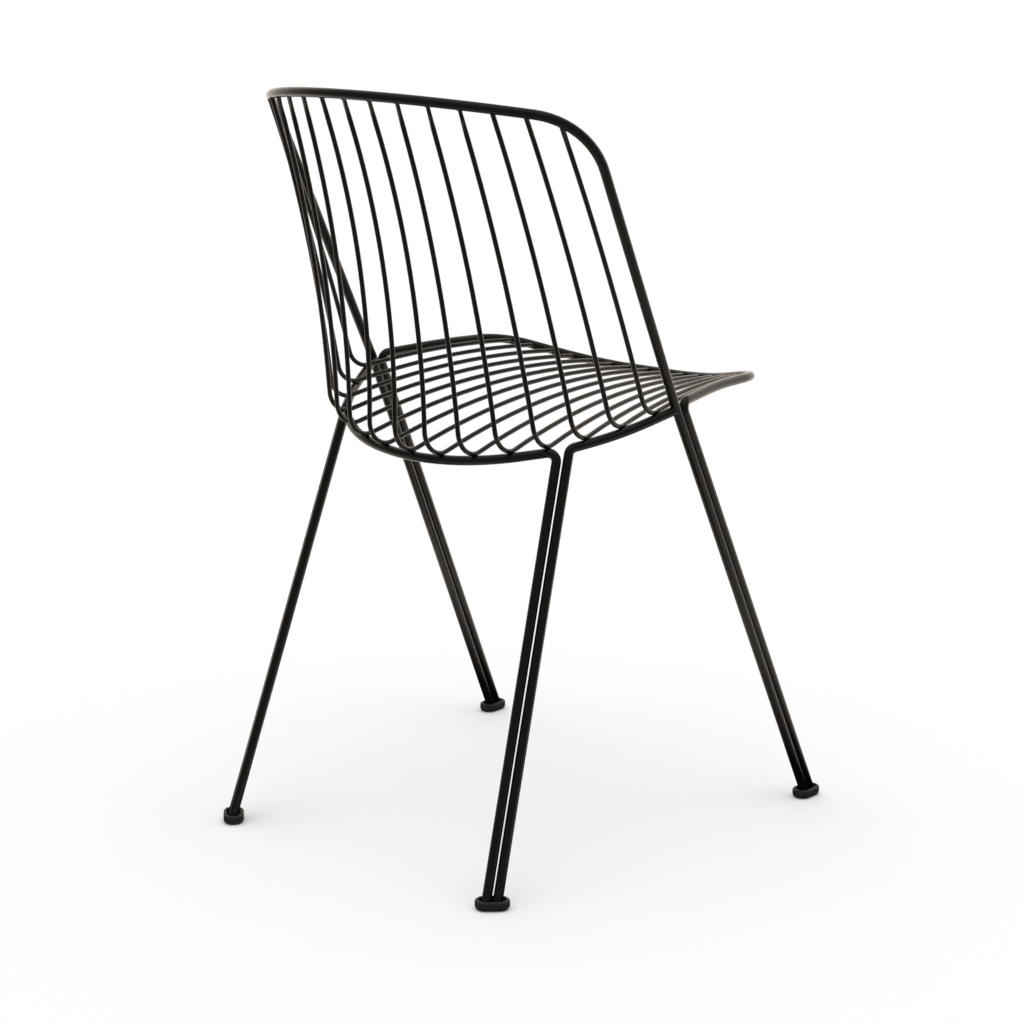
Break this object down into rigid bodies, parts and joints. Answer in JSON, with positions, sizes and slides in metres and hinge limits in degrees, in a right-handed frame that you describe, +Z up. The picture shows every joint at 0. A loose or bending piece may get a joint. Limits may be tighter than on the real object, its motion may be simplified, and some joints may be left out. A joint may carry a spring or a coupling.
{
  "type": "wire side chair",
  "caption": "Side chair of bent steel rod: parallel wires form the curved back and seat, and splayed pairs of rods form the legs on plastic glides.",
  "frame": {"origin": "on the floor, under the middle of the chair's outline", "axes": "+X to the sitter's left, +Y to the rear of the chair (the sitter faces -Y), +Z up"},
  "size_m": [0.49, 0.5086, 0.7955],
  "materials": {
    "frame": "smooth satin black powder coat",
    "glide": "fine-grained dark warm grey plastic"
  },
  "bodies": {
    "root": {"front_glide_left": "glide", "front_glide_right": "glide", "front_ring_rod": "frame", "hoop_rod": "frame", "rear_glide_left": "glide", "rear_glide_right": "glide", "rear_ring_rod": "frame", "side_rod_left": "frame", "side_rod_right": "frame", "wire_01": "frame", "wire_02": "frame", "wire_03": "frame", "wire_04": "frame", "wire_05": "frame", "wire_06": "frame", "wire_07": "frame", "wire_08": "frame", "wire_09": "frame", "wire_10": "frame", "wire_11": "frame", "wire_12": "frame", "wire_13": "frame", "wire_14": "frame", "wire_15": "frame"}
  },
  "joints": []
}
